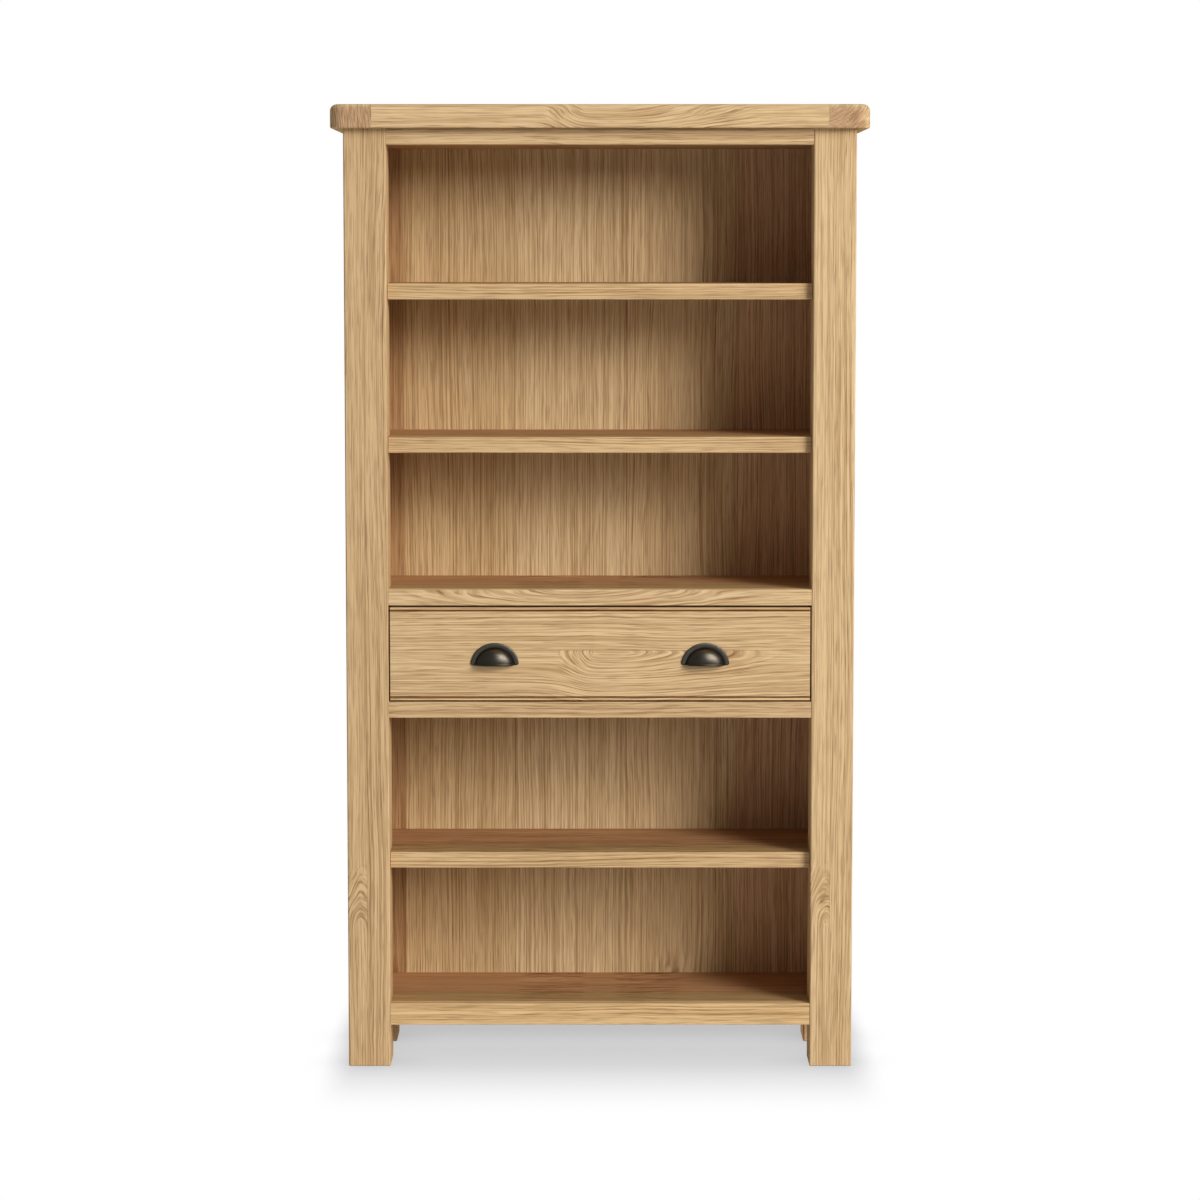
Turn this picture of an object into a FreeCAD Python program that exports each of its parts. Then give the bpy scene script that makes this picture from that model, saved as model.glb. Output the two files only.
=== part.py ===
"""Tall oak bookcase with open bays and one wide drawer across its middle.

Two framed sides (front post, rear leg, two rails and a flat panel) are joined by four tenoned
front rails, a rear top rail and four housed decks. Three loose shelves lie on pins, a thin back
closes the case, and a slab top with cross-grain ends is dowelled on. The dovetailed drawer runs
on wooden slips and has two cup handles.

Millimetres. +X is to the right seen from the front, +Y to the rear, +Z up. The origin is on the
floor, under the middle of the overall box.
"""
import FreeCAD
import Part
import math
import os

V = FreeCAD.Vector

# Heights, stacked from the floor to the top
FLOOR_CLEARANCE = 79.0
BOTTOM_RAIL_H = 41.0
BASE_BAY_H = 255.5
SHELF_T = 30.0
UNDER_DRAWER_BAY_H = 256.5
DRAWER_RAIL_H = 30.0
DRAWER_OPENING_H = 181.0
OVER_DRAWER_BAY_H = 254.0
MIDDLE_BAY_H = 254.5
TOP_BAY_H = 255.0
TOP_RAIL_H = 29.5
TOP_T = 44.0

# Plan of the case and its top
CASE_W = 947.0
CASE_D = 288.0
TOP_SIDE_OVERHANG = 23.5
TOP_FRONT_OVERHANG = 23.5
TOP_END_W = 77.0
TOP_CORNER_R = 25.0
TOP_EDGE_R = 12.5
TOP_UNDER_EDGE_R = 3.0
TOP_TONGUE_T = 14.0
TOP_TONGUE_L = 16.0
TOP_TONGUE_STOP = 40.0

# Framed sides
POST_W = 79.0
POST_D = 81.0
REAR_LEG_D = 84.0
POST_EDGE_R = 3.0
SIDE_PANEL_T = 18.0
SIDE_PANEL_INSET = 22.0
SIDE_RAIL_INSET = 4.0
SIDE_TOP_RAIL_H = 60.0
SIDE_BOTTOM_RAIL_H = 70.0
PANEL_GROOVE_DEPTH = 10.0
SIDE_TENON_L = 25.0

# Front rails, decks and back
RAIL_T = 22.0
RAIL_SETBACK = 1.0
RAIL_EDGE_R = 1.5
TENON_T = 10.0
TENON_L = 30.0
TENON_SHOULDER = 4.0
REAR_TENON_L = 20.0
DECK_T = 18.0
CEILING_T = 12.0
DECK_TONGUE_T = 6.0
DECK_TONGUE_L = 6.0
HOUSING_DEPTH = 6.0
BACK_T = 7.0
BACK_LAP = 12.0

# Loose shelves and their pins
SHELF_SETBACK = 17.0
SHELF_CLEARANCE = 0.8
SHELF_EDGE_R = 2.0
PIN_SHANK_R = 2.5
PIN_PEG_R = 3.5
PIN_SOCKET = 10.0
PIN_REACH = 9.0
PIN_FRONT_INSET = 22.0
PIN_REAR_INSET = 40.0

# Drawer box
DRAWER_GAP_ABOVE = 3.6
DRAWER_GAP_BELOW = 3.1
DRAWER_GAP_SIDE = 2.4
DRAWER_FRONT_T = 20.0
DRAWER_FRONT_EDGE_R = 1.0
BEAD_H = 4.4
BEAD_GROOVE_W = 3.0
BEAD_GROOVE_DEPTH = 3.4
DRAWER_SIDE_T = 12.0
DRAWER_SIDE_DROP = 12.0
DRAWER_BACK_T = 12.0
DRAWER_BACK_DROP = 8.0
DRAWER_BOTTOM_T = 6.0
DRAWER_BOTTOM_RAISE = 8.0
DRAWER_BOTTOM_GROOVE = 6.0
DRAWER_REAR_GAP = 29.0
TAIL_COUNT = 3
TAIL_W = 30.0
TAIL_SLOPE = 1.0 / 7.0
DOVETAIL_LAP = 6.0

# Drawer running gear
RUNNER_T = 4.0
RUNNER_W = 24.0
RUN_CLEARANCE = 0.3
GUIDE_H = 30.0
GUIDE_CLEARANCE = 1.0
KICKER_LAP = 14.0
KICKER_CLEARANCE = 1.5
STOP_W = 40.0
STOP_D = 18.0
STOP_LAP = 5.0
STOP_SPACING = 500.0

# Cup handles
HANDLE_SPACING = 393.0
HANDLE_W = 90.0
HANDLE_H = 41.5
HANDLE_PLATE_T = 3.4
HANDLE_PLATE_CORNER_R = 4.0
HANDLE_PLATE_EDGE_R = 2.2
RIM_GROOVE_W = 1.6
RIM_GROOVE_DEPTH = 1.8
CUP_W = 73.5
CUP_H = 33.5
CUP_D = 20.0
CUP_WALL = 1.8
LIP_R = 2.2
LIP_RAISE = 1.8
BOSS_SPACING = 54.0
BOSS_H = 10.0
BOSS_R = 3.5
HANDLE_SCREW_R = 2.0
HANDLE_SCREW_HEAD_R = 4.0
HANDLE_SCREW_HEAD_T = 2.4
HANDLE_SCREW_BITE = 5.0

# Dowels and screws
DOWEL_R = 4.0
DOWEL_SINK = 14.0
RAIL_DOWEL_SPACING = 400.0
SCREW_R = 1.6
SCREW_HEAD_R = 3.5
SCREW_HEAD_T = 2.4
SCREW_L = 18.0
SCREWS_PER_SIDE = 7
SCREW_END_INSET = 60.0
DECK_SCREW_SPACING = 260.0

# Fits
FIT = 0.2
HOLE_CLEARANCE = 0.1
SHELF_SEAT = 0.1

# Levels worked out from the stack of heights
Z_BOTTOM_RAIL = FLOOR_CLEARANCE
Z_BASE = Z_BOTTOM_RAIL + BOTTOM_RAIL_H
Z_LOWER_SHELF = Z_BASE + BASE_BAY_H
Z_FLOOR_RAIL = Z_LOWER_SHELF + SHELF_T + UNDER_DRAWER_BAY_H
Z_DRAWER_OPEN = Z_FLOOR_RAIL + DRAWER_RAIL_H
Z_COVER_RAIL = Z_DRAWER_OPEN + DRAWER_OPENING_H
Z_COVER = Z_COVER_RAIL + DRAWER_RAIL_H
Z_MIDDLE_SHELF = Z_COVER + OVER_DRAWER_BAY_H
Z_UPPER_SHELF = Z_MIDDLE_SHELF + SHELF_T + MIDDLE_BAY_H
Z_CEILING = Z_UPPER_SHELF + SHELF_T + TOP_BAY_H
Z_TOP = Z_CEILING + TOP_RAIL_H
HEIGHT = Z_TOP + TOP_T
Z_SHOULDER = Z_BASE - DECK_T
Z_PANEL_LOW = Z_BOTTOM_RAIL + SIDE_BOTTOM_RAIL_H - PANEL_GROOVE_DEPTH
Z_PANEL_HIGH = Z_TOP - SIDE_TOP_RAIL_H + PANEL_GROOVE_DEPTH

# Planes across the width, right half
HALF_CASE = CASE_W / 2
HALF_TOP = HALF_CASE + TOP_SIDE_OVERHANG
X_TOP_JOINT = HALF_TOP - TOP_END_W
X_POST = HALF_CASE - POST_W
X_PANEL_OUT = HALF_CASE - SIDE_PANEL_INSET
X_PANEL_IN = X_PANEL_OUT - SIDE_PANEL_T
X_SIDE_RAIL_OUT = HALF_CASE - SIDE_RAIL_INSET
X_SIDE_RAIL_MID = (X_PANEL_IN + X_SIDE_RAIL_OUT) / 2

# Planes from front to rear
Y_TOP_FRONT = -(TOP_FRONT_OVERHANG + CASE_D) / 2
Y_FRONT = Y_TOP_FRONT + TOP_FRONT_OVERHANG
Y_REAR = Y_FRONT + CASE_D
Y_POST_BACK = Y_FRONT + POST_D
Y_LEG_FRONT = Y_REAR - REAR_LEG_D
Y_BACK = Y_REAR - BACK_T
Y_RAIL_FRONT = Y_FRONT + RAIL_SETBACK
Y_RAIL_BACK = Y_RAIL_FRONT + RAIL_T
Y_REAR_RAIL = Y_BACK - RAIL_T
Y_SHELF_FRONT = Y_FRONT + SHELF_SETBACK
Y_PIN_FRONT = Y_POST_BACK + PIN_FRONT_INSET
Y_PIN_REAR = Y_BACK - PIN_REAR_INSET

# Drawer planes
X_DRAWER = X_POST - DRAWER_GAP_SIDE
X_DRAWER_IN = X_DRAWER - DRAWER_SIDE_T
X_GUIDE = X_DRAWER + GUIDE_CLEARANCE
Y_DRAWER_FACE = Y_RAIL_FRONT
Y_DRAWER_FRONT_BACK = Y_DRAWER_FACE + DRAWER_FRONT_T
Y_DRAWER_REAR = Y_BACK - DRAWER_REAR_GAP
Y_DRAWER_BACK = Y_DRAWER_REAR - DRAWER_BACK_T
Z_DRAWER_FRONT = Z_DRAWER_OPEN + DRAWER_GAP_BELOW
Z_DRAWER_FRONT_TOP = Z_COVER_RAIL - DRAWER_GAP_ABOVE
Z_SIDE = Z_DRAWER_OPEN + RUNNER_T + RUN_CLEARANCE
Z_SIDE_TOP = Z_DRAWER_FRONT_TOP - DRAWER_SIDE_DROP
Z_DRAWER_BOTTOM = Z_SIDE + DRAWER_BOTTOM_RAISE
Z_DRAWER_BACK = Z_DRAWER_BOTTOM + DRAWER_BOTTOM_T
Z_DRAWER_BACK_TOP = Z_SIDE_TOP - DRAWER_BACK_DROP
Z_HANDLE = (Z_DRAWER_FRONT + Z_DRAWER_FRONT_TOP - HANDLE_H) / 2

RAILS = {
    "bottom_rail": (Z_BOTTOM_RAIL, Z_BASE),
    "drawer_floor_rail": (Z_FLOOR_RAIL, Z_DRAWER_OPEN),
    "drawer_cover_rail": (Z_COVER_RAIL, Z_COVER),
    "top_front_rail": (Z_CEILING, Z_TOP),
}
DECKS = {
    "bottom_deck": (Z_SHOULDER, Z_BASE),
    "drawer_floor_deck": (Z_DRAWER_OPEN - DECK_T, Z_DRAWER_OPEN),
    "drawer_cover_deck": (Z_COVER - DECK_T, Z_COVER),
    "ceiling_deck": (Z_CEILING, Z_CEILING + CEILING_T),
}
SHELVES = {
    "lower_shelf": Z_LOWER_SHELF,
    "middle_shelf": Z_MIDDLE_SHELF,
    "upper_shelf": Z_UPPER_SHELF,
}


def block(x0, x1, y0, y1, z0, z1):
    """Square-edged piece between three pairs of planes."""
    return Part.makeBox(x1 - x0, y1 - y0, z1 - z0, V(x0, y0, z0))


def loosened(limits):
    """Room for a tongue or tenon: its six planes, each moved out by the fit."""
    x0, x1, y0, y1, z0, z1 = limits
    return (x0 - FIT, x1 + FIT, y0 - FIT, y1 + FIT, z0 - FIT, z1 + FIT)


def mirrored(shape):
    """The left-hand twin of a right-hand piece."""
    return shape.mirror(V(0, 0, 0), V(1, 0, 0))


def prism(points, travel):
    """Solid swept from a closed flat outline along a straight travel."""
    return Part.Face(Part.makePolygon(points + points[:1])).extrude(travel)


def flat_board(half_outline, low, high):
    """Board lying flat: the right half of its plan, front to rear, mirrored and raised."""
    right = [V(x, y, low) for x, y in half_outline]
    left = [V(-x, y, low) for x, y in reversed(half_outline)]
    return prism(right + left, V(0, 0, high - low))


def straight_edges(shape, along, **planes):
    """Straight edges parallel to one axis whose ends lie in all the given planes."""
    found = []
    for edge in shape.Edges:
        if not isinstance(edge.Curve, Part.Line):
            continue
        if abs(getattr(edge.Curve.Direction, along)) < 0.999:
            continue
        ends = [v.Point for v in edge.Vertexes]
        if all(abs(getattr(p, axis) - at) < 0.001 for p in ends for axis, at in planes.items()):
            found.append(edge)
    return found


def turned(profile, start, direction):
    """Pin or screw: (distance, radius) steps turned about an axis that leaves start."""
    outline = [V(radius, 0, distance) for distance, radius in profile]
    outline = [V(0, 0, profile[0][0])] + outline + [V(0, 0, profile[-1][0])]
    face = Part.Face(Part.makePolygon(outline + outline[:1]))
    solid = face.revolve(V(0, 0, 0), V(0, 0, 1), 360)
    solid.Placement = FreeCAD.Placement(start, FreeCAD.Rotation(V(0, 0, 1), direction))
    return solid


def rail_tenon(low, high):
    """Planes of the right-hand tenon of a front rail."""
    middle = (Y_RAIL_FRONT + Y_RAIL_BACK) / 2
    half = TENON_T / 2
    return (X_POST, X_POST + TENON_L, middle - half, middle + half,
            low + TENON_SHOULDER, high - TENON_SHOULDER)


def rear_rail_tenon():
    """Planes of the right-hand tenon of the rear top rail."""
    middle = (Y_REAR_RAIL + Y_BACK) / 2
    half = TENON_T / 2
    return (X_PANEL_IN, X_PANEL_IN + REAR_TENON_L, middle - half, middle + half,
            Z_CEILING + TENON_SHOULDER, Z_TOP - TENON_SHOULDER)


def side_rail_tenons(low, high):
    """Planes of a side rail's two tenons, into the post and the rear leg, clear of the panel."""
    half = TENON_T / 2
    across = (X_SIDE_RAIL_MID - half, X_SIDE_RAIL_MID + half)
    clear_low, clear_high = (low, Z_PANEL_LOW) if low < Z_PANEL_LOW else (Z_PANEL_HIGH, high)
    upright = (clear_low + TENON_SHOULDER, clear_high - TENON_SHOULDER)
    into_post = across + (Y_POST_BACK - SIDE_TENON_L, Y_POST_BACK) + upright
    into_leg = across + (Y_LEG_FRONT, Y_LEG_FRONT + SIDE_TENON_L) + upright
    return into_post, into_leg


SIDE_RAILS = {
    "side_bottom_rail": (Z_BOTTOM_RAIL, Z_BOTTOM_RAIL + SIDE_BOTTOM_RAIL_H),
    "side_top_rail": (Z_TOP - SIDE_TOP_RAIL_H, Z_TOP),
}


def top_dowels():
    """Dowels that stand half in the posts, legs and top rails and half in the top."""
    profile = [(-DOWEL_SINK, DOWEL_R), (DOWEL_SINK, DOWEL_R)]
    right = [
        ((X_POST + HALF_CASE) / 2, (Y_FRONT + Y_POST_BACK) / 2),
        ((X_PANEL_IN + HALF_CASE) / 2, (Y_LEG_FRONT + Y_REAR) / 2),
        (RAIL_DOWEL_SPACING / 2, (Y_RAIL_FRONT + Y_RAIL_BACK) / 2),
        (RAIL_DOWEL_SPACING / 2, (Y_REAR_RAIL + Y_BACK) / 2),
    ]
    places = [(sign * x, y) for x, y in right for sign in (-1, 1)]
    return [turned(profile, V(x, y, Z_TOP), V(0, 0, 1)) for x, y in places]


def shelf_pins(shelf_z, clearance=0.0):
    """Four stepped pins of one loose shelf: shank in the side, peg under the shelf."""
    profile = [
        (-PIN_SOCKET, PIN_SHANK_R + clearance),
        (0.0, PIN_SHANK_R + clearance),
        (0.0, PIN_PEG_R),
        (PIN_REACH, PIN_PEG_R),
    ]
    z = shelf_z - SHELF_SEAT - PIN_PEG_R
    return [
        turned(profile, V(sign * X_PANEL_IN, y, z), V(-sign, 0, 0))
        for sign in (-1, 1)
        for y in (Y_PIN_FRONT, Y_PIN_REAR)
    ]


def all_pin_holes():
    """The holes that the shelf pins' shanks go into."""
    holes = []
    for shelf_z in SHELVES.values():
        holes += shelf_pins(shelf_z, HOLE_CLEARANCE)
    return holes


def back_screws(clearance=0.0):
    """Countersunk screws through the back into the legs, decks and rear rail."""
    profile = [
        (0.0, SCREW_HEAD_R + clearance),
        (SCREW_HEAD_T, SCREW_R + clearance),
        (SCREW_L, SCREW_R + clearance),
    ]
    low = Z_SHOULDER + SCREW_END_INSET
    step = (Z_TOP - SCREW_END_INSET - low) / (SCREWS_PER_SIDE - 1)
    places = [
        (sign * (X_PANEL_IN + BACK_LAP / 2), low + i * step)
        for sign in (-1, 1)
        for i in range(SCREWS_PER_SIDE)
    ]
    levels = [(z0 + z1) / 2 for name, (z0, z1) in DECKS.items() if name != "ceiling_deck"]
    levels.append((Z_CEILING + Z_TOP) / 2)
    places += [(i * DECK_SCREW_SPACING, z) for i in (-1, 0, 1) for z in levels]
    return [turned(profile, V(x, Y_REAR, z), V(0, -1, 0)) for x, z in places]


def housings():
    """Right-hand housings that take the ends of the decks."""
    return [
        block(X_PANEL_IN, X_PANEL_IN + HOUSING_DEPTH + FIT, Y_POST_BACK, Y_LEG_FRONT, low, high + FIT)
        for low, high in DECKS.values()
    ]


def top_pieces():
    """Slab top in three boards: long grain between two cross-grain ends, tongued together."""
    side = HALF_TOP - TOP_CORNER_R
    front = Y_TOP_FRONT + TOP_CORNER_R
    diagonal = TOP_CORNER_R * math.sqrt(0.5)
    corner = [
        V(side, Y_TOP_FRONT, Z_TOP),
        V(side + diagonal, front - diagonal, Z_TOP),
        V(HALF_TOP, front, Z_TOP),
    ]
    mirror_corner = [V(-p.x, p.y, p.z) for p in corner]
    edges = [
        Part.LineSegment(mirror_corner[0], corner[0]),
        Part.Arc(*corner),
        Part.LineSegment(corner[2], V(HALF_TOP, Y_REAR, Z_TOP)),
        Part.LineSegment(V(HALF_TOP, Y_REAR, Z_TOP), V(-HALF_TOP, Y_REAR, Z_TOP)),
        Part.LineSegment(V(-HALF_TOP, Y_REAR, Z_TOP), mirror_corner[2]),
        Part.Arc(*reversed(mirror_corner)),
    ]
    slab = Part.Face(Part.Wire([e.toShape() for e in edges])).extrude(V(0, 0, TOP_T))
    upper = straight_edges(slab, "x", y=Y_TOP_FRONT, z=HEIGHT)
    slab = slab.makeFillet(TOP_EDGE_R, upper)
    under = straight_edges(slab, "x", y=Y_TOP_FRONT, z=Z_TOP)
    slab = slab.makeFillet(TOP_UNDER_EDGE_R, under)
    middle = Z_TOP + TOP_T / 2
    tongue = (X_TOP_JOINT, X_TOP_JOINT + TOP_TONGUE_L,
              Y_TOP_FRONT + TOP_TONGUE_STOP, Y_REAR - TOP_TONGUE_STOP,
              middle - TOP_TONGUE_T / 2, middle + TOP_TONGUE_T / 2)
    board = slab.common(block(-X_TOP_JOINT, X_TOP_JOINT, Y_TOP_FRONT, Y_REAR, Z_TOP, HEIGHT))
    board = board.fuse([block(*tongue), mirrored(block(*tongue))]).removeSplitter()
    end = slab.common(block(X_TOP_JOINT, HALF_TOP, Y_TOP_FRONT, Y_REAR, Z_TOP, HEIGHT))
    end = end.cut(block(*loosened(tongue)))
    return board.cut(top_dowels()), end.cut(top_dowels())


def front_post():
    """Square oak post from floor to top, grooved for the panel and mortised for the rails."""
    post = block(X_POST, HALF_CASE, Y_FRONT, Y_POST_BACK, 0, Z_TOP)
    foot = straight_edges(post, "x", z=0) + straight_edges(post, "y", z=0)
    post = post.makeFillet(POST_EDGE_R, straight_edges(post, "z") + foot)
    cuts = [block(X_PANEL_IN - FIT, X_PANEL_OUT + FIT,
                  Y_POST_BACK - PANEL_GROOVE_DEPTH, Y_POST_BACK, Z_PANEL_LOW, Z_PANEL_HIGH)]
    cuts += [block(*loosened(rail_tenon(low, high))) for low, high in RAILS.values()]
    cuts += [block(*loosened(side_rail_tenons(*span)[0])) for span in SIDE_RAILS.values()]
    return post.cut(cuts + top_dowels())


def rear_leg():
    """One-piece rear leg: a square foot with a shoulder, and a narrower upright above it."""
    outline = [
        V(X_POST, Y_LEG_FRONT, 0),
        V(HALF_CASE, Y_LEG_FRONT, 0),
        V(HALF_CASE, Y_LEG_FRONT, Z_TOP),
        V(X_PANEL_IN, Y_LEG_FRONT, Z_TOP),
        V(X_PANEL_IN, Y_LEG_FRONT, Z_SHOULDER),
        V(X_POST, Y_LEG_FRONT, Z_SHOULDER),
    ]
    leg = prism(outline, V(0, REAR_LEG_D, 0))
    rounded = straight_edges(leg, "z", x=HALF_CASE) + straight_edges(leg, "z", x=X_POST)
    rounded += straight_edges(leg, "x", z=0) + straight_edges(leg, "y", z=0)
    leg = leg.makeFillet(POST_EDGE_R, rounded)
    cuts = [
        block(X_PANEL_IN, X_PANEL_OUT + FIT, Y_LEG_FRONT, Y_LEG_FRONT + PANEL_GROOVE_DEPTH,
              Z_PANEL_LOW, Z_PANEL_HIGH),
        block(X_PANEL_IN, X_PANEL_IN + BACK_LAP, Y_BACK, Y_REAR, Z_SHOULDER, Z_TOP),
        block(*loosened(rear_rail_tenon())),
    ]
    cuts += [block(*loosened(side_rail_tenons(*span)[1])) for span in SIDE_RAILS.values()]
    return leg.cut(cuts + top_dowels() + all_pin_holes() + back_screws(HOLE_CLEARANCE))


def side_panel():
    """Flat panel held in the groove of the post and in rebates of the leg and side rails."""
    panel = block(X_PANEL_IN, X_PANEL_OUT,
                  Y_POST_BACK - PANEL_GROOVE_DEPTH + FIT, Y_LEG_FRONT + PANEL_GROOVE_DEPTH - FIT,
                  Z_PANEL_LOW, Z_PANEL_HIGH - FIT)
    return panel.cut(housings() + all_pin_holes())


def side_rail(low, high):
    """Side rail with a tenon at each end, rebated on its inner face for the panel."""
    rail = block(X_PANEL_IN, X_SIDE_RAIL_OUT, Y_POST_BACK, Y_LEG_FRONT, low, high)
    outer = straight_edges(rail, "y", x=X_SIDE_RAIL_OUT)
    rail = rail.makeFillet(RAIL_EDGE_R, outer)
    rail = rail.fuse([block(*tenon) for tenon in side_rail_tenons(low, high)])
    rebate = block(X_PANEL_IN, X_PANEL_OUT + FIT, Y_POST_BACK, Y_LEG_FRONT, Z_PANEL_LOW, Z_PANEL_HIGH)
    return rail.cut([rebate] + housings()).removeSplitter()


def deck_tongue(low, high):
    """Planes of the tongue along a deck's front edge."""
    middle = (low + high) / 2
    half = DECK_TONGUE_T / 2
    return (-X_POST + FIT, X_POST - FIT, Y_RAIL_BACK - DECK_TONGUE_L, Y_RAIL_BACK,
            middle - half, middle + half)


def front_rail(low, high):
    """Front rail between the posts, with a stub tenon each end and a groove for its deck."""
    rail = block(-X_POST, X_POST, Y_RAIL_FRONT, Y_RAIL_BACK, low, high)
    arrises = straight_edges(rail, "x", y=Y_RAIL_FRONT)
    rail = rail.makeFillet(RAIL_EDGE_R, arrises)
    tenon = block(*rail_tenon(low, high))
    rail = rail.fuse([tenon, mirrored(tenon)])
    grooves = [block(*loosened(deck_tongue(*span))) for span in DECKS.values()]
    return rail.cut(grooves + top_dowels()).removeSplitter()


def top_rear_rail():
    """Rail between the rear legs, under the top and in front of the back."""
    rail = block(-X_PANEL_IN, X_PANEL_IN, Y_REAR_RAIL, Y_BACK, Z_CEILING, Z_TOP)
    tenon = block(*rear_rail_tenon())
    rail = rail.fuse([tenon, mirrored(tenon)]).removeSplitter()
    return rail.cut(top_dowels() + back_screws(HOLE_CLEARANCE))


def deck(low, high, rear):
    """Fixed deck notched round the posts, tongued into its rail and housed in the sides."""
    plan = [
        (X_POST - FIT, Y_RAIL_BACK),
        (X_POST - FIT, Y_POST_BACK + FIT),
        (X_PANEL_IN + HOUSING_DEPTH, Y_POST_BACK + FIT),
        (X_PANEL_IN + HOUSING_DEPTH, Y_LEG_FRONT - FIT),
        (X_PANEL_IN - FIT, Y_LEG_FRONT - FIT),
        (X_PANEL_IN - FIT, rear),
    ]
    board = flat_board(plan, low, high)
    board = board.fuse(block(*deck_tongue(low, high))).removeSplitter()
    return board.cut(back_screws(HOLE_CLEARANCE))


def loose_shelf(shelf_z):
    """Loose shelf notched round the posts, with softened front edges."""
    plan = [
        (X_POST - SHELF_CLEARANCE, Y_SHELF_FRONT),
        (X_POST - SHELF_CLEARANCE, Y_POST_BACK + SHELF_CLEARANCE),
        (X_PANEL_IN - SHELF_CLEARANCE, Y_POST_BACK + SHELF_CLEARANCE),
        (X_PANEL_IN - SHELF_CLEARANCE, Y_BACK - SHELF_CLEARANCE),
    ]
    shelf = flat_board(plan, shelf_z, shelf_z + SHELF_T)
    return shelf.makeFillet(SHELF_EDGE_R, straight_edges(shelf, "x", y=Y_SHELF_FRONT))


def back_panel():
    """Thin veneered back, let into the rear legs and standing on their shoulders."""
    reach = X_PANEL_IN + BACK_LAP - FIT
    panel = block(-reach, reach, Y_BACK, Y_REAR, Z_SHOULDER, Z_TOP)
    return panel.cut(back_screws(HOLE_CLEARANCE))


def drawer_runner():
    """Thin hardwood slip on the drawer floor, under one drawer side."""
    return block(X_GUIDE - RUNNER_W, X_GUIDE, Y_RAIL_BACK, Y_BACK,
                 Z_DRAWER_OPEN, Z_DRAWER_OPEN + RUNNER_T)


def drawer_guide():
    """Bar that fills the space behind the post and keeps the drawer square."""
    return block(X_GUIDE, X_PANEL_IN, Y_POST_BACK, Y_BACK, Z_DRAWER_OPEN, Z_DRAWER_OPEN + GUIDE_H)


def drawer_kicker():
    """Bar under the drawer cover that keeps an open drawer from tipping."""
    return block(X_DRAWER - KICKER_LAP, X_PANEL_IN, Y_POST_BACK + FIT, Y_BACK,
                 Z_SIDE_TOP + KICKER_CLEARANCE, Z_COVER - DECK_T)


def drawer_stops():
    """Two blocks that the drawer front closes against."""
    front = Y_DRAWER_FRONT_BACK + RUN_CLEARANCE
    top = Z_DRAWER_FRONT + STOP_LAP
    return [
        block(x - STOP_W / 2, x + STOP_W / 2, front, front + STOP_D, Z_DRAWER_OPEN, top)
        for x in (-STOP_SPACING / 2, STOP_SPACING / 2)
    ]


def tails(root, end, low, high, grow=0.0):
    """Dovetails of the right drawer side, spread evenly up its edge from low to high."""
    pitch = (high - low) / TAIL_COUNT
    half_end = TAIL_W / 2 + grow
    half_root = half_end - abs(end - root) * TAIL_SLOPE
    shapes = []
    for i in range(TAIL_COUNT):
        z = low + (i + 0.5) * pitch
        outline = [
            V(X_DRAWER_IN - grow, root, z - half_root),
            V(X_DRAWER_IN - grow, end, z - half_end),
            V(X_DRAWER_IN - grow, end, z + half_end),
            V(X_DRAWER_IN - grow, root, z + half_root),
        ]
        shapes.append(prism(outline, V(DRAWER_SIDE_T + 2 * grow, 0, 0)))
    return shapes


def front_tails(grow=0.0):
    """Lapped tails at the front, short of the drawer face by the lap."""
    end = Y_DRAWER_FACE + DOVETAIL_LAP - grow
    return tails(Y_DRAWER_FRONT_BACK, end, Z_SIDE, Z_SIDE_TOP, grow)


def rear_tails(grow=0.0):
    """Through tails at the rear, flush with the drawer back."""
    return tails(Y_DRAWER_BACK, Y_DRAWER_REAR + grow, Z_DRAWER_BACK, Z_DRAWER_BACK_TOP, grow)


def drawer_bottom_limits():
    """Planes of the drawer bottom, let into the front and sides and run under the back."""
    reach = X_DRAWER_IN + DRAWER_BOTTOM_GROOVE - FIT
    return (-reach, reach, Y_DRAWER_FRONT_BACK - DRAWER_BOTTOM_GROOVE + FIT, Y_DRAWER_REAR,
            Z_DRAWER_BOTTOM, Z_DRAWER_BACK)


def handle_places():
    """Middle of each handle's lower edge, on the drawer face."""
    return [V(x, Y_DRAWER_FACE, Z_HANDLE) for x in (-HANDLE_SPACING / 2, HANDLE_SPACING / 2)]


def handle_screws(clearance=0.0):
    """Pan-head screws from inside the drawer into the bosses of the handles."""
    profile = [
        (-HANDLE_SCREW_HEAD_T, HANDLE_SCREW_HEAD_R),
        (0.0, HANDLE_SCREW_HEAD_R),
        (0.0, HANDLE_SCREW_R + clearance),
        (DRAWER_FRONT_T + HANDLE_SCREW_BITE, HANDLE_SCREW_R + clearance),
    ]
    return [
        turned(profile, place + V(dx, DRAWER_FRONT_T, BOSS_H), V(0, -1, 0))
        for place in handle_places()
        for dx in (-BOSS_SPACING / 2, BOSS_SPACING / 2)
    ]


def drawer_front():
    """Solid front with a bead along its upper and lower edges and sockets for the tails."""
    front = block(-X_DRAWER, X_DRAWER, Y_DRAWER_FACE, Y_DRAWER_FRONT_BACK,
                  Z_DRAWER_FRONT, Z_DRAWER_FRONT_TOP)
    arrises = straight_edges(front, "x", y=Y_DRAWER_FACE) + straight_edges(front, "z", y=Y_DRAWER_FACE)
    front = front.makeFillet(DRAWER_FRONT_EDGE_R, arrises)
    cuts = []
    for low in (Z_DRAWER_FRONT + BEAD_H, Z_DRAWER_FRONT_TOP - BEAD_H - BEAD_GROOVE_W):
        cuts.append(block(-X_DRAWER, X_DRAWER, Y_DRAWER_FACE, Y_DRAWER_FACE + BEAD_GROOVE_DEPTH,
                          low, low + BEAD_GROOVE_W))
    sockets = front_tails(FIT)
    cuts += sockets + [mirrored(socket) for socket in sockets]
    cuts.append(block(*loosened(drawer_bottom_limits())))
    return front.cut(cuts + handle_screws(HOLE_CLEARANCE))


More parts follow.
